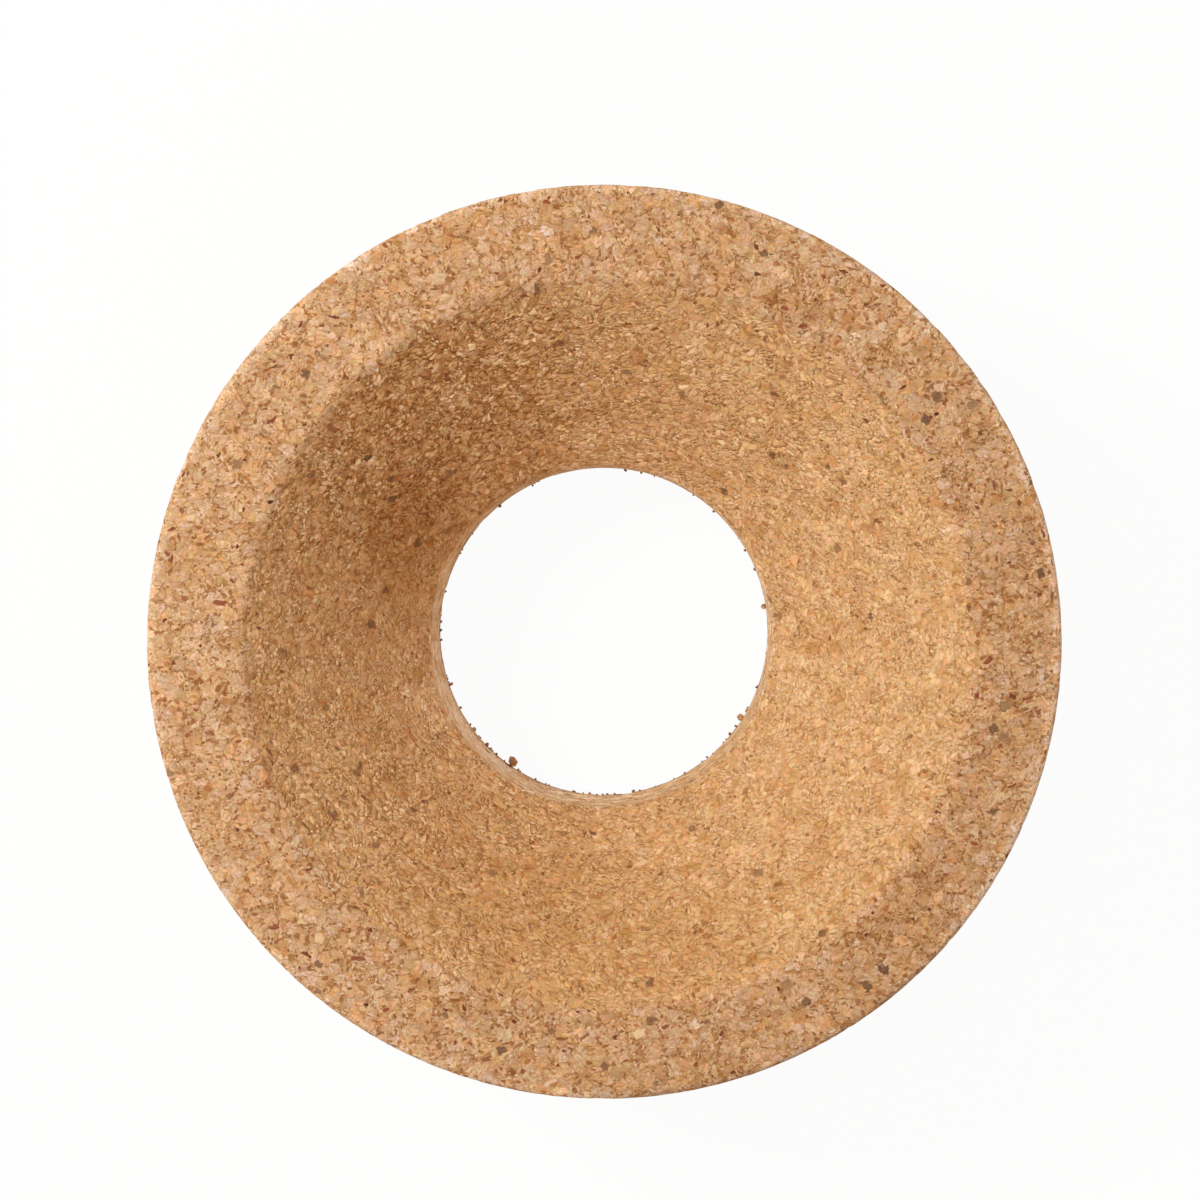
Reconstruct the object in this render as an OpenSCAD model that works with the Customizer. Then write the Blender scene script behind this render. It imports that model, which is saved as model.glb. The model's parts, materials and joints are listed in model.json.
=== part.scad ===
// Laboratory cork ring: a stand that seats round-bottomed flasks.
//
// One piece of agglomerated cork, moulded as a block and turned. A straight
// cylinder with a flat foot and a flat rim carries a cone-shaped dish, and
// below the dish a straight hole goes right through. The section is drawn
// once, in the plane of radius and height, and revolved about +Z.
// The origin is at the middle of the foot.

/* [Body] */
// Outside diameter
ring_d = 80; // [68:1:160]
// Height from the foot to the rim
ring_h = 30; // [20:1:60]
// Radius on the outer edges of the foot and of the rim
edge_r = 0.6; // [0.1:0.1:3]

/* [Dish] */
// Diameter of the dish where it meets the rim
dish_d = 64.4; // [40:0.1:76]
// Slope of the dish wall above level, in degrees
dish_slope = 45; // [20:1:60]
// Radius that softens the edge between the rim and the dish
crease_r = 1.2; // [0.3:0.1:5]

/* [Hole] */
// Diameter of the hole through the foot
hole_d = 31.5; // [10:0.5:50]
// Radius that softens the edge between the dish and the hole
lip_r = 0.8; // [0.2:0.1:5]

/* [Hidden] */

$fn = 180;

// How far a cutting shape runs past the surface that it opens
overrun = 1;

ring_r = ring_d / 2;
dish_r = dish_d / 2;
hole_r = hole_d / 2;
dish_depth = (dish_r - hole_r) * tan(dish_slope);

// Height of the straight wall of the hole, before its upper edge is softened
land_h = ring_h - dish_depth;

// Along the dish wall, one millimetre up the slope
slope_dir = [cos(dish_slope), sin(dish_slope)];

// The two softened edges. Each arc touches both of its faces, at a distance
// from the sharp corner that depends on how far the surface turns there.
crease_reach = crease_r * tan(dish_slope / 2);
crease_corner = [dish_r, ring_h];
crease_centre = crease_corner + [crease_reach, -crease_r];

lip_reach = lip_r * tan((90 - dish_slope) / 2);
lip_corner = [hole_r, land_h];
lip_centre = lip_corner + [lip_r, -lip_reach];

// Half of the turned blank: a bar with rounded outer edges
module blank_section() {
    square([ring_r - edge_r, ring_h]);
    translate([0, edge_r]) square([ring_r, ring_h - 2 * edge_r]);
    for (z = [edge_r, ring_h - edge_r])
        translate([ring_r - edge_r, z]) circle(edge_r);
}

// Half of what the cutter takes out: the hole below and the dish above, with
// each edge taken back to the two points where its arc touches the faces
module cutter_section() {
    polygon([
        [-overrun, -overrun],
        [hole_r, -overrun],
        lip_corner - [0, lip_reach],
        lip_corner + lip_reach * slope_dir,
        crease_corner - crease_reach * slope_dir,
        crease_corner + [crease_reach, 0],
        crease_corner + [crease_reach, overrun],
        [-overrun, ring_h + overrun]
    ]);
}

module ring_section() {
    difference() {
        blank_section();
        cutter_section();
    }
    translate(crease_centre) circle(crease_r);
    translate(lip_centre) circle(lip_r);
}

module cork_ring() {
    color([0.79, 0.60, 0.42])
        rotate_extrude() ring_section();
}

cork_ring();
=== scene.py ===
"""A turned ring of agglomerated cork that seats round flasks, in a plain studio."""

import json
import math
import random

import bmesh
import bpy
from mathutils import Euler, Matrix, Vector


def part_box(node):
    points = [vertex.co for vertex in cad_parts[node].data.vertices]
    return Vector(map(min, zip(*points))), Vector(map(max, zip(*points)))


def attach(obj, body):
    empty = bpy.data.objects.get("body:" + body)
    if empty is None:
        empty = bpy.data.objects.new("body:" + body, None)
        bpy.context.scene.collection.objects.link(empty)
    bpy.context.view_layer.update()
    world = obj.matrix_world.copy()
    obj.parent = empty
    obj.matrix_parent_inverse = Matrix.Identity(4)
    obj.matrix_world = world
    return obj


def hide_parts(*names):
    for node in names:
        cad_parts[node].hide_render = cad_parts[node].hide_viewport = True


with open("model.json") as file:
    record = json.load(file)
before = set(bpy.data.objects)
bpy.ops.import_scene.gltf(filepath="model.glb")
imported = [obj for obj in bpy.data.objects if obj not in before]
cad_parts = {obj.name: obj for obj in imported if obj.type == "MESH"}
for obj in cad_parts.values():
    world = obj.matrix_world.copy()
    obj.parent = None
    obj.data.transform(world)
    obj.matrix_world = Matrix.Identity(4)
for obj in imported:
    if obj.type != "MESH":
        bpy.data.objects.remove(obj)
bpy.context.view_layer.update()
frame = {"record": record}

bl_info = {
    "name": "Cork Ring",
    "version": (1, 0, 0),
    "blender": (4, 5, 0),
    "location": "View3D > Sidebar > Cork Ring",
    "description": "Builds a turned cork flask ring with its grain, and a plain studio around it",
    "category": "Object",
}

MM = 0.001

# The ring as packed: its box and its bore give the sizes that both share.
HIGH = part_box("cork_ring")[1]
BORE = next(m for m in frame["record"]["mounts"] if m["name"] == "hole")["dims"]


def srgb(red, green, blue):
    """A colour given as a screen shows it, 0 to 255, as linear light."""
    def one(value):
        value /= 255
        return value / 12.92 if value <= 0.04045 else ((value + 0.055) / 1.055) ** 2.4
    return (one(red), one(green), one(blue), 1.0)


# ------------------------------------------------------------------ settings


class RingSizes(bpy.types.PropertyGroup):
    """The turned section, and how finely it is divided."""

    outer_radius: bpy.props.FloatProperty(
        name="Outside radius", description="From the axis to the outer wall",
        default=HIGH.x, unit="LENGTH")
    height: bpy.props.FloatProperty(
        name="Height", description="From the foot to the rim",
        default=HIGH.z, unit="LENGTH")
    hole_radius: bpy.props.FloatProperty(
        name="Hole radius", description="From the axis to the wall of the hole",
        default=BORE["r_mm"] * MM, unit="LENGTH")
    dish_radius: bpy.props.FloatProperty(
        name="Dish radius", description="From the axis to the corner between dish and rim",
        default=32.2 * MM, unit="LENGTH")
    dish_bow: bpy.props.FloatProperty(
        name="Dish bow", description="How far the dish wall's middle stands proud of a true cone",
        default=0.5 * MM, unit="LENGTH")
    dish_runout: bpy.props.FloatVectorProperty(
        name="Dish run-out", description="How far the dish's upper edge is off the ring's axis",
        default=(0.53 * MM, -0.40 * MM), size=2, subtype="TRANSLATION")
    lip_runout: bpy.props.FloatVectorProperty(
        name="Lip run-out", description="How far the dish's lower edge is off the ring's axis",
        default=(-0.3 * MM, 0.0), size=2, subtype="TRANSLATION")
    dish_slope: bpy.props.FloatProperty(
        name="Dish slope", description="Slope of the dish wall above level",
        default=math.radians(45), subtype="ANGLE")
    edge_arc: bpy.props.FloatProperty(
        name="Edge arc", description="Radius on the outer edges of foot and rim",
        default=0.6 * MM, unit="LENGTH")
    crease_arc: bpy.props.FloatProperty(
        name="Crease arc", description="Radius between the rim and the dish",
        default=1.2 * MM, unit="LENGTH")
    lip_arc: bpy.props.FloatProperty(
        name="Lip arc", description="Radius between the dish and the hole",
        default=0.8 * MM, unit="LENGTH")
    steps_around: bpy.props.IntProperty(
        name="Steps around", description="Divisions of each circle", default=600)
    fine_row: bpy.props.FloatProperty(
        name="Fine rows", description="Spacing of the rows on rim and dish",
        default=0.38 * MM, unit="LENGTH")
    plain_row: bpy.props.FloatProperty(
        name="Plain rows", description="Spacing of the rows on outer wall, foot and hole",
        default=0.9 * MM, unit="LENGTH")


class CorkFinish(bpy.types.PropertyGroup):
    """Colours and sizes of the cork's grains."""

    cut_colour: bpy.props.FloatVectorProperty(
        name="Cut cork", description="Colour of a freshly cut grain",
        default=srgb(216, 165, 114), size=4, min=0, max=1, subtype="COLOR")
    bark_colour: bpy.props.FloatVectorProperty(
        name="Bark", description="Colour of the darkest of the bark grains",
        default=srgb(100, 72, 56), size=4, min=0, max=1, subtype="COLOR")
    grain_width: bpy.props.FloatProperty(
        name="Grain width", description="Usual width of a grain",
        default=1.0 * MM, unit="LENGTH")
    sliver_width: bpy.props.FloatProperty(
        name="Sliver width", description="Usual width of the slivers that a grain is torn into",
        default=0.31 * MM, unit="LENGTH")
    chip_width: bpy.props.FloatProperty(
        name="Chip width", description="Width of the coloured chips of bark",
        default=0.42 * MM, unit="LENGTH")
    seat_depth: bpy.props.FloatProperty(
        name="Seat depth", description="How far the lowest grain lies below the turned surface",
        default=0.06 * MM, unit="LENGTH")
    chip_depth: bpy.props.FloatProperty(
        name="Chip depth", description="How far the edges are chipped where a grain has come out",
        default=0.06 * MM, unit="LENGTH")
    relief: bpy.props.FloatProperty(
        name="Sliver relief", description="Height of the slivers over the gaps between them",
        default=0.21 * MM, unit="LENGTH")
    roughness: bpy.props.FloatProperty(
        name="Roughness", description="How dull the cork is",
        default=0.85, min=0, max=1, subtype="FACTOR")
    gloss: bpy.props.FloatProperty(
        name="Gloss", description="How strongly the cork reflects light off its face",
        default=0.25, min=0, max=1, subtype="FACTOR")


class HoleCrumbs(bpy.types.PropertyGroup):
    """Loose crumbs that cling to the lower edge of the hole."""

    count: bpy.props.IntProperty(
        name="Small crumbs", description="How many small crumbs there are", default=64)
    smallest: bpy.props.FloatProperty(
        name="Smallest", description="Width of the smallest crumb",
        default=0.20 * MM, unit="LENGTH")
    largest: bpy.props.FloatProperty(
        name="Largest", description="Width of the largest of the small crumbs",
        default=0.45 * MM, unit="LENGTH")
    # The crumbs' colour is darker than the cut cork as painted shade, for crumbs that sit low in
    # the hole
    colour: bpy.props.FloatVectorProperty(
        name="Crumb colour", description="Colour of the crumbs, which are mostly bark",
        default=srgb(178, 124, 82), size=4, min=0, max=1, subtype="COLOR")
    seed: bpy.props.IntProperty(
        name="Seed", description="Another number gives another scatter", default=4)


class StudioSetup(bpy.types.PropertyGroup):
    """Camera, light, sky and floor."""

    lens: bpy.props.FloatProperty(
        name="Lens", description="Focal length on a 36 mm sensor, in millimetres",
        default=98.40, unit="CAMERA")
    camera_place: bpy.props.FloatVectorProperty(
        name="Camera", description="Where the camera stands",
        default=(-0.38 * MM, 11.15 * MM, 316.0 * MM), subtype="TRANSLATION")
    camera_tilt: bpy.props.FloatProperty(
        name="Camera tilt", description="Lean of the camera away from straight down",
        default=math.radians(-1.471), subtype="ANGLE")
    key_width: bpy.props.FloatProperty(
        name="Key width", description="Width of the round soft light",
        default=120 * MM, unit="LENGTH")
    key_power: bpy.props.FloatProperty(
        name="Key power", description="Power of the soft light",
        default=1.06, unit="POWER")
    key_colour: bpy.props.FloatVectorProperty(
        name="Key colour", description="Colour of the soft light",
        default=(0.908, 1.0, 0.96), min=0, max=1, subtype="COLOR")
    key_bearing: bpy.props.FloatProperty(
        name="Key bearing", description="Bearing of the soft light, from the X axis",
        default=math.radians(152), subtype="ANGLE")
    key_elevation: bpy.props.FloatProperty(
        name="Key elevation", description="Height of the soft light, as an angle above level",
        default=math.radians(50), subtype="ANGLE")
    key_distance: bpy.props.FloatProperty(
        name="Key distance", description="How far from the origin the soft light stands",
        default=400 * MM, unit="LENGTH")
    key_target: bpy.props.FloatVectorProperty(
        name="Key target", description="The point that the soft light faces",
        default=(0.0, 0.0, 20 * MM), subtype="TRANSLATION")
    sky_strength: bpy.props.FloatProperty(
        name="Sky strength", description="Strength of the even light from all round",
        default=0.543)
    sky_colour: bpy.props.FloatVectorProperty(
        name="Sky colour", description="Colour of the even light from all round",
        default=(1.0, 0.85, 0.65, 1.0), size=4, min=0, max=1, subtype="COLOR")
    floor_reach: bpy.props.FloatProperty(
        name="Floor reach", description="From the middle of the floor to its sides",
        default=3.0, unit="LENGTH")
    floor_colour: bpy.props.FloatVectorProperty(
        name="Floor colour", description="Colour of the floor where it catches light",
        default=(0.9, 0.9, 0.9, 1.0), size=4, min=0, max=1, subtype="COLOR")
    floor_white: bpy.props.FloatProperty(
        name="Floor white", description="Share of plain white in the floor that the camera sees",
        default=0.955, subtype="FACTOR")


# ------------------------------------------------------------- node building


class Flow:
    """A value on its way through a node tree. Arithmetic on it adds Math nodes."""

    def __init__(self, graph, socket):
        self.graph = graph
        self.socket = socket

    def __add__(self, other):
        return self.graph.math("ADD", self, other)

    __radd__ = __add__

    def __sub__(self, other):
        return self.graph.math("SUBTRACT", self, other)

    def __rsub__(self, other):
        return self.graph.math("SUBTRACT", other, self)

    def __mul__(self, other):
        return self.graph.math("MULTIPLY", self, other)

    __rmul__ = __mul__

    def __truediv__(self, other):
        return self.graph.math("DIVIDE", self, other)

    def __rtruediv__(self, other):
        return self.graph.math("DIVIDE", other, self)

    def __gt__(self, limit):
        return self.graph.math("GREATER_THAN", self, limit)

    def __lt__(self, limit):
        return self.graph.math("LESS_THAN", self, limit)

    def ramp(self, low, high):
        """0 at low, 1 at high, eased between them."""
        node = self.graph.node(
            "ShaderNodeMapRange", {"interpolation_type": "SMOOTHSTEP"},
            {"Value": self, "From Min": low, "From Max": high})
        return self.graph.out(node, "Result")


class Graph:
    """Adds nodes to a tree and wraps what comes out of them."""

    def __init__(self, tree):
        self.tree = tree

    def node(self, kind, settings=None, inputs=None):
        """A node of a kind, with its settings and the values or links of its sockets."""
        node = self.tree.nodes.new(kind)
        settings = dict(settings or {})
        stops = settings.pop("stops", None)
        for name, value in settings.items():
            setattr(node, name, value)
        if stops:
            while len(node.color_ramp.elements) < len(stops):
                node.color_ramp.elements.new(1.0)
            for element, (place, colour) in zip(node.color_ramp.elements, stops):
                element.position = place
                element.color = colour
        for key, value in (inputs or {}).items():
            if isinstance(value, Flow):
                self.tree.links.new(value.socket, node.inputs[key])
            else:
                node.inputs[key].default_value = value
        return node

    def out(self, node, key=0):
        """One of a node's outputs, ready for arithmetic."""
        return Flow(self, node.outputs[key])

    def math(self, operation, *values):
        """A Math node on numbers."""
        node = self.node("ShaderNodeMath", {"operation": operation}, dict(enumerate(values)))
        return self.out(node)

    def vector(self, operation, a, b=None, scale=None):
        """A Vector Math node."""
        inputs = {0: a}
        if b is not None:
            inputs[1] = b
        if scale is not None:
            inputs["Scale"] = scale
        return self.out(self.node("ShaderNodeVectorMath", {"operation": operation}, inputs))

    def split(self, vector):
        """The three parts of a vector or a colour."""
        node = self.node("ShaderNodeSeparateXYZ", {}, {0: vector})
        return [self.out(node, axis) for axis in range(3)]

    def choose(self, share, a, b):
        """a where share is 0, b where it is 1, for numbers."""
        node = self.node("ShaderNodeMix", {"data_type": "FLOAT"}, {0: share, 2: a, 3: b})
        return self.out(node, 0)

    def blend(self, share, a, b, how="MIX"):
        """Two colours mixed."""
        node = self.node(
            "ShaderNodeMix", {"data_type": "RGBA", "blend_type": how}, {0: share, 6: a, 7: b})
        return self.out(node, 2)

    def noise(self, at, scale, detail=0.0, colour=False):
        """Soft noise about 0.5, of so many waves to the unit: a number, or three as a colour."""
        node = self.node(
            "ShaderNodeTexNoise", {"noise_dimensions": "3D"},
            {"Vector": at, "Scale": scale, "Detail": detail})
        return self.out(node, 1 if colour else 0)

    def cells(self, at, scale):
        """Space split into cells, of so many to the unit."""
        return self.node(
            "ShaderNodeTexVoronoi", {"voronoi_dimensions": "3D", "feature": "F1"},
            {"Vector": at, "Scale": scale})

    def ramp(self, share, stops):
        """A colour looked up between stops, each a place from 0 to 1 and a colour."""
        return self.out(self.node("ShaderNodeValToRGB", {"stops": stops}, {0: share}))


# --------------------------------------------------------------- cork grain


MIDDLE_GREY = (0.5, 0.5, 0.5)

# How the grain wanders: waves to the millimetre, and the moves that they give to the
# outlines of the grains and to their fibres, in millimetres
WANDER, OUTLINE_MOVE, FIBRE_MOVE = 1.9, 0.7, 0.15

# How slivers, chips and streaks are squeezed before they are drawn: the smaller the share,
# the longer they are that way
SLIVER_SHAPE = (1.0, 1.0, 0.45)
CHIP_SHAPE = (1.0, 1.0, 0.24)
STREAK_SHAPE = (1.0, 1.0, 0.5)

# How fine the slivers are in the coarsest grain, and how much finer in the finest
COARSE, FINER = 0.65, 0.9


def grain(graph, at, finish):
    """The cork's make-up at a point given in millimetres.

    Grains, each with a tone, a tint and a fibre direction of its own, that
    break up into slivers along that direction, and chips of bark among them.
    A chance is three random numbers, and a gap is how far the middle is away,
    in widths.
    """
    bend = graph.vector("SUBTRACT", graph.noise(at, WANDER, 1.0, colour=True), MIDDLE_GREY)
    bent = graph.vector("ADD", at, graph.vector("SCALE", bend, scale=OUTLINE_MOVE))
    cell = graph.cells(bent, MM / finish.grain_width)
    lot = graph.out(cell, "Color")
    fibres = graph.vector("ADD", at, graph.vector("SCALE", bend, scale=FIBRE_MOVE))
    turned = graph.out(graph.node(
        "ShaderNodeVectorRotate", {"rotation_type": "EULER_XYZ"},
        {"Vector": fibres, "Rotation": graph.vector("SCALE", lot, scale=math.tau)}))
    fineness = graph.split(lot)[0] * FINER + COARSE
    along = graph.vector("SCALE", graph.vector("MULTIPLY", turned, SLIVER_SHAPE), scale=fineness)
    sliver = graph.cells(along, MM / finish.sliver_width)
    own = graph.out(sliver, "Color")
    chip = graph.cells(graph.vector("MULTIPLY", turned, CHIP_SHAPE), MM / finish.chip_width)
    offset = graph.vector("SUBTRACT", along, graph.out(sliver, "Position"))
    lean = graph.node(
        "ShaderNodeVectorMath", {"operation": "DOT_PRODUCT"},
        {0: offset, 1: graph.vector("SUBTRACT", own, MIDDLE_GREY)})
    return {
        "grain_chance": lot,
        "grain_gap": graph.out(cell, "Distance"),
        "grain_middle": graph.out(cell, "Position"),
        "sliver_chance": own,
        "sliver_gap": graph.out(sliver, "Distance"),
        "sliver_tilt": graph.out(lean, "Value") * (MM / finish.sliver_width),
        "chip_chance": graph.out(chip, "Color"),
        "chip_gap": graph.out(chip, "Distance"),
    }


# Where the cutter tore the dish, with painted shade, on the dish wall that faces away from the
# lamp; where the outer edge is rough and painted darker as shade; and where the outer edge is
# painted lighter as light: middle, reach and core, in millimetres
TORN_AND_SHADED = (-17.0, 22.0, 25.0), 23.0, 7.0
ROUGH_SHADED_EDGE = (17.0, -35.0, 30.0), 21.0, 11.0
FAR_EDGE_LIGHT = (36.0, -17.0, 30.0), 72.0, 10.0

# Paler and darker stretches of the whole ring, of the dish alone and of the wall of the hole
# alone: middle and reach in millimetres, and the shift in level. Those marked below are painted
# light and shade
STRETCHES = [
    # The first four are painted shade and light in the dish around the hole: darker on the wall
    # that faces away from the lamp, lighter round the rest
    ((-17.8, 10.3, 18.5), 9.0, -0.24),
    ((-17.2, -4.0, 16.0), 7.0, 0.16),
    ((0.0, 17.5, 17.0), 7.0, 0.10),
    ((16.4, -6.0, 16.0), 7.0, 0.08),
    ((-3.0, -25.0, 24.0), 15.0, -0.06),
    ((-25.0, 0.0, 24.0), 10.0, 0.08),
    # Painted shade on the rim on the side farthest from the lamp
    ((29.0, -22.0, 30.0), 12.0, -0.06),
    ((-26.0, -12.0, 24.0), 9.0, 0.06),
    # Painted light from the floor on the lower part of the hole's wall
    ((-15.0, -7.0, 5.0), 16.0, 0.30),
]
DISH_STRETCHES = [
    ((-8.0, -24.0, 23.0), 20.0, -0.14),
    ((10.0, -29.0, 28.0), 18.0, -0.12),
]
# Painted light and shade on the wall of the hole, shaping the painted floor light there: lighter
# on one side, darker on two
HOLE_STRETCHES = [
    ((11.0, -12.0, 7.0), 24.0, -0.34),
    ((-9.0, -13.0, 7.0), 16.0, 0.22),
    ((-8.0, 14.0, 12.0), 12.0, -0.30),
]

# The largest chips in the rim: middle and reach in millimetres, and colour
LARGE_CHIPS = [
    ((24.4, -28.6, 30.0), 0.85, srgb(106, 68, 46)),
    ((17.3, -31.3, 30.0), 0.60, srgb(118, 76, 50)),
    ((37.6, 8.8, 30.0), 0.60, srgb(126, 90, 68)),
    ((28.5, 22.7, 30.0), 0.60, srgb(136, 90, 64)),
    ((-22.0, -29.5, 30.0), 0.60, srgb(140, 86, 54)),
    ((-25.0, -26.0, 30.0), 0.85, srgb(236, 198, 156)),
    ((3.2, -34.4, 30.0), 0.55, srgb(240, 206, 168)),
    ((31.0, 10.4, 30.0), 0.85, srgb(234, 192, 148)),
]


def nearness(graph, at, middle, reach, core=0.0):
    """1 within the core of a ball about a point, 0 outside its reach."""
    gap = graph.node("ShaderNodeVectorMath", {"operation": "DISTANCE"}, {0: at, 1: middle})
    return graph.out(gap, "Value").ramp(reach, core)


def stretches(graph, at, places):
    """How much paler or darker the cork is for the stretches that a point lies in."""
    return sum(nearness(graph, at, middle, reach) * shift for middle, reach, shift in places)


def around(graph, at):
    """Distance from the axis, and height above the foot, in millimetres."""
    across, along, up = graph.split(at)
    return graph.math("SQRT", across * across + along * along), up


def finishes(graph, at, sizes):
    """How sanded, torn and bored the surface is at a point given in millimetres. The torn patch
    is also painted shade and light.

    The numbers are how far from each face a finish fades out, and how far it is full.
    """
    reach, up = around(graph, at)
    rim, wall, hole = sizes.height / MM, sizes.outer_radius / MM, sizes.hole_radius / MM
    lip = lip_height(sizes) / MM
    outside = graph.math(
        "MAXIMUM", up.ramp(rim - 0.7, rim - 0.2), reach.ramp(wall - 5.0, wall - 4.0))
    sanded = graph.math("MAXIMUM", outside, up.ramp(1.0, 0.2))
    # The torn patch lies on the dish wall that faces away from the lamp and changes only the
    # colour: darker gaps and marks and more contrast between slivers, as painted shade and light
    # of a rough surface
    torn = nearness(graph, at, *TORN_AND_SHADED) * (1.0 - sanded)
    bored = reach.ramp(hole + 1.0, hole + 0.4) * up.ramp(lip + 0.35, lip - 0.35)
    return sanded, torn, bored


def edge_wear_and_light(graph, at, sizes):
    """1 on the outer edges, and 1 on the lower edge of the hole, gone a millimetre away."""
    reach, up = around(graph, at)
    rim, wall, hole = sizes.height / MM, sizes.outer_radius / MM, sizes.hole_radius / MM
    level_edge = graph.math("MAXIMUM", up.ramp(rim - 1.2, rim - 0.2), up.ramp(1.2, 0.2))
    outer = reach.ramp(wall - 1.2, wall - 0.2) * level_edge
    inner = reach.ramp(hole + 1.0, hole + 0.1) * up.ramp(1.0, 0.1)
    return outer, inner


# A grain on an edge is lost where its chance is over this, and the seats of sanded
# grains are flatter by this share
LOST_FROM = 0.9
SANDED_FLATTER = 0.5


def relief_tree(name, sizes, finish):
    """A node group that presses the grain into a mesh, along its normals."""
    tree = bpy.data.node_groups.new(name, "GeometryNodeTree")
    tree.interface.new_socket("Geometry", in_out="INPUT", socket_type="NodeSocketGeometry")
    tree.interface.new_socket("Geometry", in_out="OUTPUT", socket_type="NodeSocketGeometry")
    graph = Graph(tree)
    shape = graph.out(graph.node("NodeGroupInput"))
    place = graph.out(graph.node("GeometryNodeInputPosition"))
    normal = graph.out(graph.node("GeometryNodeInputNormal"))
    at = graph.vector("SCALE", place, scale=1 / MM)
    grain_a, grain_b, _ = graph.split(grain(graph, at, finish)["grain_chance"])
    lost = (grain_b > LOST_FROM) * graph.math("MAXIMUM", *edge_wear_and_light(graph, at, sizes))
    sanded = finishes(graph, at, sizes)[0]
    seat = (grain_a - 1.0) * (1.0 - sanded * SANDED_FLATTER) * finish.seat_depth
    height = seat - lost * finish.chip_depth
    moved = graph.node(
        "GeometryNodeSetPosition", {},
        {"Geometry": shape, "Offset": graph.vector("SCALE", normal, scale=height)})
    graph.node("NodeGroupOutput", {}, {0: graph.out(moved)})
    return tree


# How far each channel of the cork follows its level, and how far the level goes, in log
# terms: at level 0 the cork has its base colour
CHANNELS = (0.70, 1.12, 1.75)
DARKEST, LIGHTEST = -1.8, 0.7

# Grains are bark where their chance is under the first of these, dull under the second
# and pale over the third, and chips and flecks show where theirs is over their own
BARK_BELOW, DULL_BELOW, PALE_FROM = 0.026, 0.09, 0.984
CHIP_FROM, FLECK_FROM = 0.984, 0.980

# What the finishes do to the cork's colour; the hole's tint is painted light from the floor, the
# rough edge's painted grey shade
SANDED_TINT = (0.887, 0.90, 0.975, 1)
FLOOR_LIGHT_TINT = (1.28, 1.6, 2.08, 1)
SHADED_EDGE_TINT = (0.97, 1.05, 1.22, 1)

# Warm to cool, from sliver to sliver and from grain to grain
SLIVER_TINTS = [
    (0.0, (1.09, 0.93, 0.84, 1)), (0.3, (0.95, 1.03, 0.92, 1)),
    (0.65, (1.05, 0.97, 1.08, 1)), (1.0, (0.94, 1.01, 1.10, 1)),
]
GRAIN_TINTS = [
    (0.0, (1.02, 0.94, 0.88, 1)), (0.4, (0.98, 0.97, 1.02, 1)),
    (0.75, (0.97, 0.97, 1.06, 1)), (1.0, (0.93, 0.95, 1.10, 1)),
]

# The bark's colours after its darkest, and those of its chips and flecks
BARK_COLOURS = [(0.5, srgb(142, 100, 74)), (1.0, srgb(158, 118, 86))]
CHIP_COLOURS = [
    (0.0, srgb(96, 42, 28)), (0.4, srgb(154, 80, 50)), (0.65, srgb(136, 98, 72)),
    (0.8, srgb(168, 128, 94)), (0.9, srgb(226, 190, 144)),
]
FLECK_COLOURS = [
    (0.0, srgb(72, 42, 30)), (0.06, srgb(118, 56, 34)), (0.65, srgb(158, 84, 54)),
    (1.0, srgb(150, 108, 74)),
]


def cork_stops(colour, count=9):
    """The cork from its darkest to its lightest, as stops of a ramp."""
    stops = []
    for k in range(count):
        share = k / (count - 1)
        level = DARKEST + share * (LIGHTEST - DARKEST)
        shade = [base * math.exp(level * bend) for base, bend in zip(colour, CHANNELS)]
        stops.append((share, (*shade, 1.0)))
    return stops


class CorkSpot:
    """Everything that the cork's colour and relief come from, at a point in millimetres."""

    def __init__(self, graph, at, sizes, finish):
        parts = grain(graph, at, finish)
        self.at = at
        self.grain = graph.split(parts["grain_chance"])
        self.grain_gap = parts["grain_gap"]
        self.grain_middle = parts["grain_middle"]
        self.sliver = graph.split(parts["sliver_chance"])
        self.sliver_gap = parts["sliver_gap"]
        self.sliver_tilt = parts["sliver_tilt"]
        self.chip = graph.split(parts["chip_chance"])
        self.chip_gap = parts["chip_gap"]
        self.pores = graph.noise(at, 4.5, 1.0)
        self.sanded, self.torn, self.bored = finishes(graph, at, sizes)
        # Bands on the outer edges and on the hole's lower edge: worn in the relief, and painted
        # light and shade in the colour
        self.outer_edge, self.hole_edge = edge_wear_and_light(graph, at, sizes)
        # Part of the outer edge is rough and painted darker and greyer as shade, and the part on
        # the far side from the lamp is painted lighter as light
        self.rough_edge = self.outer_edge * nearness(graph, at, *ROUGH_SHADED_EDGE)
        self.rubbed_edge = self.outer_edge * nearness(graph, at, *FAR_EDGE_LIGHT)

    def amount(self, anywhere, **more):
        """An amount, and what is added to it where the cork is sanded, torn and so on."""
        total = anywhere
        for place, extra in more.items():
            total = getattr(self, place) * extra + total
        return total


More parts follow.
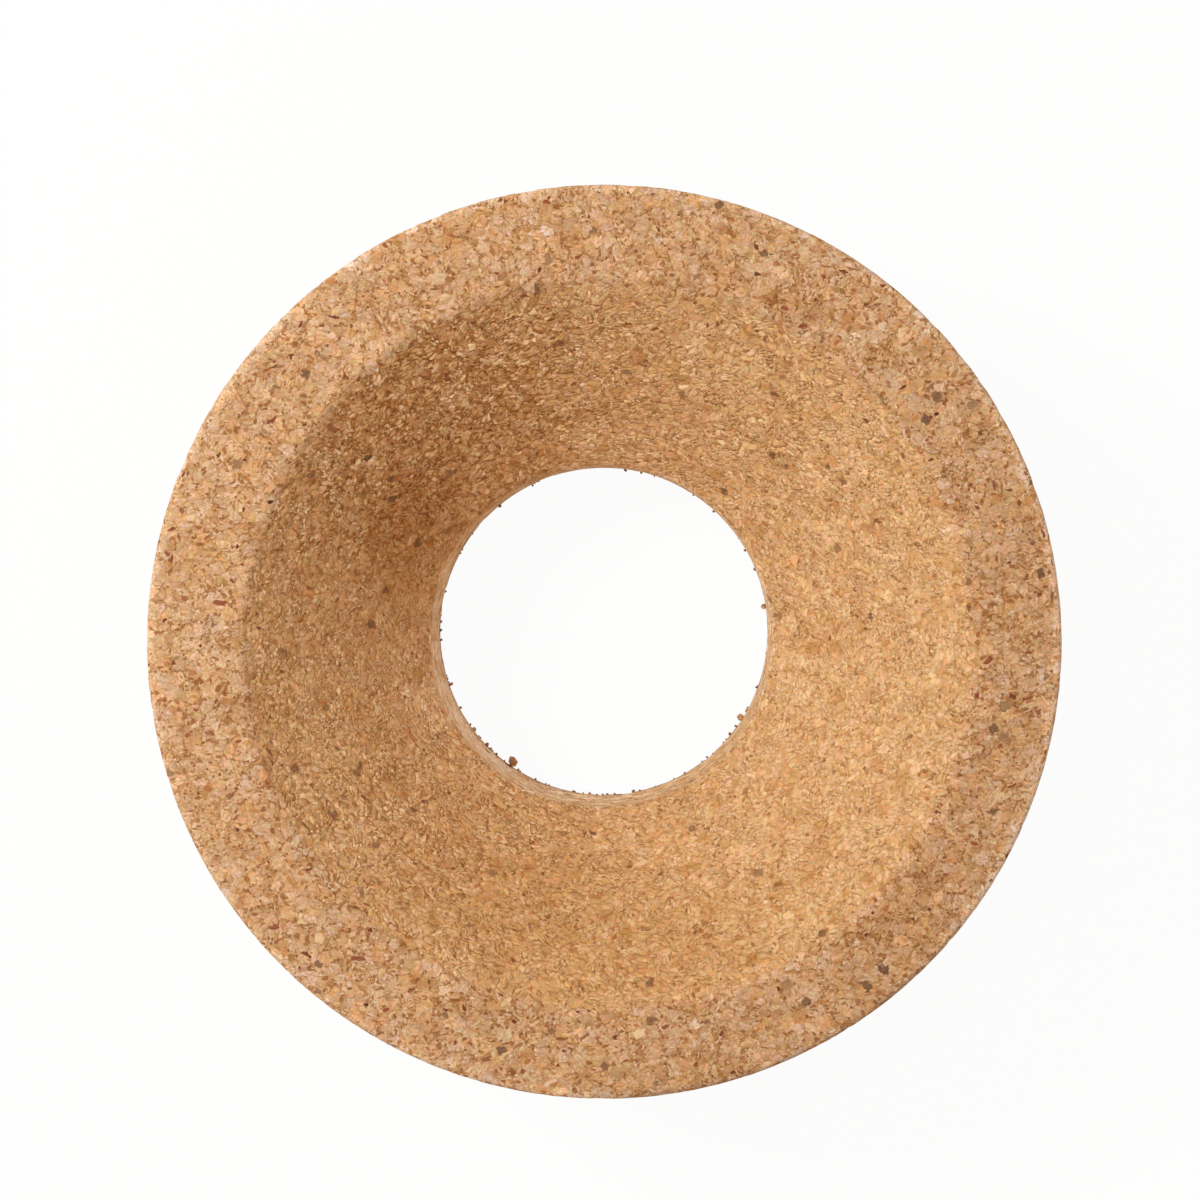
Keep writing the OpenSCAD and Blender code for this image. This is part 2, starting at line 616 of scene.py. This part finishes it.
def cork_level(graph, spot):
    """How light the cork is: grain by grain and sliver by sliver, with seams, gaps and pores, and
    painted light and shade.
    """
    grain_a, grain_b, _ = spot.grain
    sliver_a, sliver_b, sliver_c = spot.sliver

    # Dark slivers gather in the seams between grains, and gaps open in patches, darkened as
    # painted shade
    seam = spot.grain_gap.ramp(0.35, 0.75)
    broken = (seam * spot.amount(0.13, sanded=0.33, torn=0.40)
              + spot.amount(0.04, sanded=0.06, rough_edge=0.40)) * (grain_a * 0.9 + 0.6)
    body = spot.sliver_gap.ramp(0.75, 0.45)
    mark = (broken - sliver_a).ramp(0.0, 0.04) * (0.35 + sliver_c * 0.65) * body
    open_patch = graph.noise(spot.at, 1.3).ramp(0.42, 0.62) * 0.8 + 0.4
    gap = spot.sliver_gap.ramp(0.5, 0.8) * open_patch
    dull = (DULL_BELOW - grain_a).ramp(0.0, 0.01)
    pale = (grain_a - PALE_FROM).ramp(0.0, 0.004)
    cloud = graph.noise(spot.at, 0.35)
    streak = graph.noise(graph.vector("MULTIPLY", spot.at, STREAK_SHAPE), 1.25, 2.0)

    # Grain and sliver tone is random, and the same numbers set their heights, so low grains and
    # slivers are darker: their own tone plus painted shade
    level = ((grain_b - 0.5) * spot.amount(0.14, sanded=0.06, bored=0.50)
             + (sliver_b - 0.5) * spot.amount(0.38, sanded=-0.10, torn=0.32)
             + (cloud - 0.5) * 0.25
             + (streak - 0.5) * spot.bored * 0.6
             + (spot.pores - 0.5) * spot.amount(0.40, sanded=0.34)
             - mark * spot.amount(0.8, sanded=0.28, torn=0.3)
             # Gaps darkened as painted shade, most in the torn patch
             - gap * spot.amount(0.28, sanded=-0.06, torn=0.52)
             - dull * 0.22
             + pale * spot.amount(0.10, sanded=0.16)
             # Outer edges painted lighter as light, most on the far side from the lamp; the rough
             # edge and the hole's edge at the foot painted darker as shade
             + spot.amount(0.17, outer_edge=0.18, rubbed_edge=0.36, rough_edge=-0.40,
                           hole_edge=-0.25))
    return (level
            + stretches(graph, spot.at, STRETCHES)
            + stretches(graph, spot.at, DISH_STRETCHES) * (1.0 - spot.sanded)
            + stretches(graph, spot.at, HOLE_STRETCHES) * spot.bored)


def cork_tint(graph, spot, colour):
    """Warm to cool from sliver to sliver and from grain to grain, then each finish's own: painted
    floor light in the hole, painted grey shade on the rough edge.
    """
    tints = [
        (1.0, graph.ramp(spot.sliver[2], SLIVER_TINTS)),
        (spot.amount(0.30, sanded=0.70), graph.ramp(spot.grain[2], GRAIN_TINTS)),
        (spot.sanded, SANDED_TINT),
        (spot.bored, FLOOR_LIGHT_TINT),
        (spot.rough_edge, SHADED_EDGE_TINT),
    ]
    for share, tint in tints:
        colour = graph.blend(share, colour, tint, "MULTIPLY")
    return colour


def cork_bark(graph, spot, colour, darkest):
    """Grains, chips and flecks of bark, and the few large chips, laid over the cork."""
    grain_a, _, grain_c = spot.grain
    sliver_a, sliver_b, sliver_c = spot.sliver
    chip_a, chip_b, chip_c = spot.chip
    mottle = spot.pores - 0.5

    whole = (spot.grain_gap + sliver_b * 0.2).ramp(0.62, 0.52)
    bark = (BARK_BELOW - grain_a).ramp(0.0, 0.01) * whole
    shade = graph.ramp(grain_c + mottle * 1.2, [(0.0, darkest), *BARK_COLOURS])
    colour = graph.blend(bark * 0.85, colour, shade)
    for middle, reach, own in LARGE_CHIPS:
        large = nearness(graph, spot.grain_middle, middle, reach, reach - 0.02)
        colour = graph.blend(large * whole * (0.40 + spot.pores * 0.85), colour, own)

    body = (spot.chip_gap + mottle * 0.3 + (chip_c - 0.5) * 0.36).ramp(0.60, 0.50)
    chip = (chip_a + spot.sanded * 0.016 - CHIP_FROM).ramp(0.0, 0.004) * body
    shade = graph.ramp(chip_b + mottle * 0.8, CHIP_COLOURS)
    colour = graph.blend(chip * spot.amount(0.65, sanded=0.27), colour, shade)

    fleck = (sliver_a - grain_a * 0.02 > FLECK_FROM) * spot.sliver_gap.ramp(0.60, 0.40)
    shade = graph.ramp(sliver_c, FLECK_COLOURS)
    return graph.blend(fleck * spot.amount(0.75, sanded=0.25), colour, shade)


def cork_height(spot):
    """Height of the broken surface: grains and slivers stand and lean, and gaps lie low."""
    gap = spot.sliver_gap.ramp(0.4, 0.9)
    height = spot.grain[1] * 0.2 + spot.sliver[1] * 0.36 + spot.sliver_tilt * 1.3 - gap * 0.35
    return height * spot.amount(1.0, sanded=-0.55)


def new_material(name):
    """A material with an empty tree, and the graph that fills it."""
    material = bpy.data.materials.new(name)
    material.use_nodes = True
    material.node_tree.nodes.clear()
    return material, Graph(material.node_tree)


def cork_material(name, sizes, finish, base):
    """Cork whose grains are about the base colour."""
    material, graph = new_material(name)
    place = graph.node("ShaderNodeAttribute", {"attribute_name": "grain_place"})
    spot = CorkSpot(graph, graph.out(place, "Vector"), sizes, finish)
    tone = (cork_level(graph, spot) - DARKEST) / (LIGHTEST - DARKEST)
    colour = graph.ramp(tone, cork_stops(base[:3]))
    colour = cork_tint(graph, spot, colour)
    colour = cork_bark(graph, spot, colour, finish.bark_colour)
    bump = graph.node("ShaderNodeBump", {}, {
        "Strength": 1.0, "Distance": finish.relief, "Height": cork_height(spot)})
    surface = graph.node("ShaderNodeBsdfPrincipled", {}, {
        "Base Color": colour, "Roughness": finish.roughness, "Specular IOR Level": finish.gloss,
        "Normal": graph.out(bump)})
    graph.node("ShaderNodeOutputMaterial", {}, {"Surface": graph.out(surface)})
    return material


# ------------------------------------------------------------------ modelling


def arc_reach(radius, turn):
    """How far from a sharp corner an arc of that radius touches its two faces."""
    return radius * math.tan(turn / 2)


# A point is level with the rim or the foot where it is this near to its height
LEVEL_SLACK = 0.01 * MM

# Edges longer than this run along the section, and are cut into rows
LONG_EDGE = 2 * MM


def circle_edges(bm, radius, height, slack=0.001 * MM):
    """The edges of a turned mesh that lie on one circle about the axis."""
    def on_it(vert):
        return (abs(math.hypot(vert.co.x, vert.co.y) - radius) < slack
                and abs(vert.co.z - height) < slack)
    return [e for e in bm.edges if all(on_it(v) for v in e.verts)]


def lip_height(sizes):
    """Height of the corner between the dish and the hole."""
    return sizes.height - (sizes.dish_radius - sizes.hole_radius) * math.tan(sizes.dish_slope)


def hand_turned(sizes, place):
    """How far a point of the true form is moved by the bow of the dish and its run-out.

    The outer wall and the foot stay true, and the rim and the hole ease between them
    and the dish.
    """
    reach = math.hypot(place.x, place.y)
    away = Vector((place.x / reach, place.y / reach, 0.0))
    up = Vector((0.0, 0.0, 1.0))
    lip = lip_height(sizes)
    runout = Vector((*sizes.dish_runout, 0.0))
    if place.z > sizes.height - LEVEL_SLACK:
        left = (sizes.outer_radius - reach) / (sizes.outer_radius - sizes.dish_radius)
        return runout * min(left, 1.0)
    if reach > sizes.dish_radius + MM or place.z < LEVEL_SLACK:
        return Vector()
    climb = max((place.z - lip) / (sizes.height - lip), 0.0)
    lean = Vector((*sizes.lip_runout, 0.0)) * min(place.z / lip, 1.0)
    bow = 4 * sizes.dish_bow * climb * (1 - climb)
    out = up * math.cos(sizes.dish_slope) - away * math.sin(sizes.dish_slope)
    return lean.lerp(runout, climb) + out * bow


def cut_rows(bm, sizes):
    """Cuts the section's long edges into rows: fine on rim and dish, plain elsewhere."""
    long_edges = {}
    for edge in bm.edges:
        (r_a, z_a), (r_b, z_b) = ((math.hypot(*v.co.xy), v.co.z) for v in edge.verts)
        if abs(r_a - r_b) + abs(z_a - z_b) > LONG_EDGE:
            above_lip = max(z_a, z_b) > lip_height(sizes) + MM
            inside_wall = min(r_a, r_b) < sizes.outer_radius - MM
            spacing = sizes.fine_row if above_lip and inside_wall else sizes.plain_row
            long_edges.setdefault(round(edge.calc_length() / spacing), []).append(edge)
    for count, group in sorted(long_edges.items()):
        bmesh.ops.subdivide_edges(bm, edges=group, cuts=count - 1, use_grid_fill=True)


def turned_ring(sizes):
    """The ring as a closed grid of quads, with softened edges."""
    bm = bmesh.new()
    corners = {
        "foot_inner": (sizes.hole_radius, 0.0),
        "foot_outer": (sizes.outer_radius, 0.0),
        "rim_outer": (sizes.outer_radius, sizes.height),
        "crease": (sizes.dish_radius, sizes.height),
        "lip": (sizes.hole_radius, lip_height(sizes)),
    }
    verts = [bm.verts.new((r, 0.0, z)) for r, z in corners.values()]
    edges = [bm.edges.new((a, b)) for a, b in zip(verts, verts[1:] + verts[:1])]
    bmesh.ops.spin(
        bm, geom=verts + edges, cent=(0, 0, 0), axis=(0, 0, 1), dvec=(0, 0, 0),
        angle=math.tau, steps=sizes.steps_around, use_merge=True, use_duplicate=False)
    square = math.radians(90)
    soften = {
        "foot_outer": (sizes.edge_arc, square, 4),
        "rim_outer": (sizes.edge_arc, square, 4),
        "crease": (sizes.crease_arc, sizes.dish_slope, 4),
        "lip": (sizes.lip_arc, square - sizes.dish_slope, 3),
    }
    for name, (radius, turn, segments) in soften.items():
        bmesh.ops.bevel(
            bm, geom=circle_edges(bm, *corners[name]), offset=arc_reach(radius, turn),
            offset_type="OFFSET", segments=segments, profile=0.5, affect="EDGES", material=-1)
    cut_rows(bm, sizes)
    for vert in bm.verts:
        vert.co += hand_turned(sizes, vert.co)
    bmesh.ops.recalc_face_normals(bm, faces=bm.faces)
    for face in bm.faces:
        face.smooth = True
    return bm


def new_object(name, data):
    """An object for a mesh, a lamp or a camera, linked to the scene."""
    obj = bpy.data.objects.new(name, data)
    bpy.context.scene.collection.objects.link(obj)
    return obj


def new_piece(name, bm):
    """Turns a finished bmesh into an object at the origin."""
    mesh = bpy.data.meshes.new(name)
    bm.to_mesh(mesh)
    bm.free()
    return new_object(name, mesh)


def press_grain(piece, scene):
    """Presses the grain into a piece's own mesh."""
    relief = relief_tree("cork_grain_relief", scene.ring_sizes, scene.cork_finish)
    piece.modifiers.new("grain", "NODES").node_group = relief
    depsgraph = bpy.context.evaluated_depsgraph_get()
    mesh = bpy.data.meshes.new_from_object(piece.evaluated_get(depsgraph))
    piece.modifiers.clear()
    old = piece.data
    piece.data = mesh
    mesh.name = piece.name
    bpy.data.meshes.remove(old)


def keep_places(piece):
    """Stores where each point is, in millimetres, for the cork to read."""
    places = piece.data.attributes.new("grain_place", "FLOAT_VECTOR", "POINT")
    places.data.foreach_set("vector", [c / MM for vert in piece.data.vertices for c in vert.co])


def make_of_cork(piece, scene, material_name, colour):
    """Gives a piece its cork and fixes it to the ring's body."""
    piece.data.materials.append(
        cork_material(material_name, scene.ring_sizes, scene.cork_finish, colour))
    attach(piece, "root")


# Crumbs large enough to be placed one by one: bearing in degrees, width in millimetres,
# and how far the middle stands off the wall of the hole, as a share of the width
LARGE_CRUMBS = [
    (235, 1.4, 0.34), (217, 0.6, 0.16), (-32, 0.95, 0.25), (-29, 0.5, 0.10),
    (9, 0.6, 0.30), (-161, 0.6, 0.30), (-136, 0.5, 0.20),
]

# Where the small crumbs lie thickest: bearing and spread in degrees
THICKEST, SPREAD = 240, 60


def add_crumb(bm, sizes, bearing, width, stand_off, rng):
    """A chipped grain on the wall of the hole, just above the foot."""
    reach = sizes.hole_radius - width * stand_off
    lift = width * rng.uniform(0.6, 1.0)
    place = Matrix.Rotation(bearing, 4, "Z") @ Matrix.Translation((reach, 0, lift))
    turn = Euler([rng.uniform(0, math.tau) for _ in range(3)]).to_matrix().to_4x4()
    stretch = Matrix.Diagonal((1.0, rng.uniform(0.7, 1.0), rng.uniform(0.6, 0.9), 1.0))
    grown = bmesh.ops.create_icosphere(
        bm, subdivisions=1, radius=width / 2, matrix=place @ turn @ stretch)
    middle = place.to_translation()
    for vert in grown["verts"]:
        dent = rng.uniform(0.78, 1.08)
        vert.co = middle.lerp(vert.co, dent)


def hole_crumbs(sizes, crumbs):
    """All the crumbs. The small ones lie thickest on one side, where the cutter came out."""
    bm = bmesh.new()
    rng = random.Random(crumbs.seed)
    for bearing, width, stand_off in LARGE_CRUMBS:
        add_crumb(bm, sizes, math.radians(bearing), width * MM, stand_off, rng)
    for _ in range(crumbs.count):
        width = crumbs.smallest + (crumbs.largest - crumbs.smallest) * rng.random() ** 2
        bearing = rng.choice([rng.uniform(0, 360), rng.gauss(THICKEST, SPREAD)])
        add_crumb(bm, sizes, math.radians(bearing), width, rng.uniform(0.0, 0.28), rng)
    return bm


# --------------------------------------------------------------------- studio


WHITE = (1.0, 1.0, 1.0, 1.0)


def background_ray(graph):
    """1 for what the camera sees directly, in a reflection or through glass."""
    path = graph.node("ShaderNodeLightPath")
    straight, mirrored, through = (
        graph.out(path, ray) for ray in ("Is Camera Ray", "Is Glossy Ray", "Is Transmission Ray"))
    return graph.math("MAXIMUM", graph.math("MAXIMUM", straight, mirrored), through)


def studio_camera(setup):
    """The camera, almost straight above the ring."""
    camera = bpy.data.cameras.new("camera")
    camera.lens = setup.lens
    camera.sensor_width = 36
    view = new_object("camera", camera)
    view.location = setup.camera_place
    view.rotation_euler = (setup.camera_tilt, 0, 0)
    return view


def floor_material(setup):
    """Pale paint that keeps a shadow, under nearly plain white for what the camera sees."""
    material, graph = new_material("pale_floor")
    paint = graph.node("ShaderNodeBsdfDiffuse", {}, {"Color": setup.floor_colour})
    glow = graph.node("ShaderNodeEmission", {}, {"Color": WHITE, "Strength": 1.0})
    both = graph.node("ShaderNodeMixShader", {}, {
        0: background_ray(graph) * setup.floor_white, 1: graph.out(paint), 2: graph.out(glow)})
    graph.node("ShaderNodeOutputMaterial", {}, {"Surface": graph.out(both)})
    return material


def studio_floor(setup):
    """The floor that the ring stands on, which isn't part of it."""
    bm = bmesh.new()
    bmesh.ops.create_grid(bm, x_segments=1, y_segments=1, size=setup.floor_reach)
    floor = new_piece("floor", bm)
    floor.data.materials.append(floor_material(setup))


def key_light(setup):
    """One round soft light, high on one side, that faces the ring."""
    key = bpy.data.lights.new("key", "AREA")
    key.shape = "DISK"
    key.size = setup.key_width
    key.energy = setup.key_power
    key.color = setup.key_colour
    lamp = new_object("key", key)
    level = setup.key_distance * math.cos(setup.key_elevation)
    lamp.location = (
        level * math.cos(setup.key_bearing),
        level * math.sin(setup.key_bearing),
        setup.key_distance * math.sin(setup.key_elevation))
    facing = Vector(setup.key_target) - lamp.location
    lamp.rotation_euler = facing.to_track_quat("-Z", "Y").to_euler()


def studio_sky(setup):
    """Even light from all round, and plain white for what the camera sees."""
    world = bpy.data.worlds.new("studio")
    world.use_nodes = True
    world.node_tree.nodes.clear()
    graph = Graph(world.node_tree)
    seen = background_ray(graph)
    sky = graph.node("ShaderNodeBackground", {}, {
        "Color": graph.blend(seen, setup.sky_colour, WHITE),
        "Strength": graph.choose(seen, setup.sky_strength, 1.0)})
    graph.node("ShaderNodeOutputWorld", {}, {"Surface": graph.out(sky)})
    return world


# ------------------------------------------------------------------ operators


class CORK_OT_ring(bpy.types.Operator):
    """Turn the ring, press the grain into it and give it its cork"""

    bl_idname = "cork.ring"
    bl_label = "Cork ring"

    def execute(self, context):
        scene = context.scene
        piece = new_piece("cork_ring_body", turned_ring(scene.ring_sizes))
        keep_places(piece)
        press_grain(piece, scene)
        make_of_cork(piece, scene, "agglomerated_cork", scene.cork_finish.cut_colour)
        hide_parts("cork_ring")
        return {"FINISHED"}


class CORK_OT_crumbs(bpy.types.Operator):
    """Scatter the crumbs along the lower edge of the hole"""

    bl_idname = "cork.crumbs"
    bl_label = "Hole crumbs"

    def execute(self, context):
        scene = context.scene
        piece = new_piece("hole_crumbs", hole_crumbs(scene.ring_sizes, scene.hole_crumbs))
        keep_places(piece)
        make_of_cork(piece, scene, "shaded_crumbs", scene.hole_crumbs.colour)
        return {"FINISHED"}


class CORK_OT_studio(bpy.types.Operator):
    """Set up the camera, the floor, the light and the sky"""

    bl_idname = "cork.studio"
    bl_label = "Studio"

    def execute(self, context):
        scene = context.scene
        scene.view_settings.view_transform = "Standard"
        scene.camera = studio_camera(scene.studio_setup)
        studio_floor(scene.studio_setup)
        key_light(scene.studio_setup)
        scene.world = studio_sky(scene.studio_setup)
        return {"FINISHED"}


class CORK_PT_panel(bpy.types.Panel):
    """Everything that can be built, and the settings that it is built from"""

    bl_idname = "CORK_PT_panel"
    bl_label = "Cork Ring"
    bl_space_type = "VIEW_3D"
    bl_region_type = "UI"
    bl_category = "Cork Ring"

    def draw(self, context):
        for operator in OPERATORS:
            self.layout.operator(operator.bl_idname)
        for name, group in GROUPS.items():
            box = self.layout.box()
            for setting in group.__annotations__:
                box.prop(getattr(context.scene, name), setting)


GROUPS = {
    "ring_sizes": RingSizes,
    "cork_finish": CorkFinish,
    "hole_crumbs": HoleCrumbs,
    "studio_setup": StudioSetup,
}
OPERATORS = [CORK_OT_ring, CORK_OT_crumbs, CORK_OT_studio]


def register():
    """Adds the classes, and each group of settings to the scene."""
    for cls in [*GROUPS.values(), *OPERATORS, CORK_PT_panel]:
        bpy.utils.register_class(cls)
    for name, group in GROUPS.items():
        setattr(bpy.types.Scene, name, bpy.props.PointerProperty(type=group))


def unregister():
    """Takes the settings and the classes out again."""
    for name in GROUPS:
        delattr(bpy.types.Scene, name)
    for cls in [CORK_PT_panel, *reversed(OPERATORS), *reversed(GROUPS.values())]:
        bpy.utils.unregister_class(cls)


def main():
    """Builds everything in order."""
    register()
    bpy.ops.cork.ring()
    bpy.ops.cork.crumbs()
    bpy.ops.cork.studio()


if __name__ == "__main__":
    main()
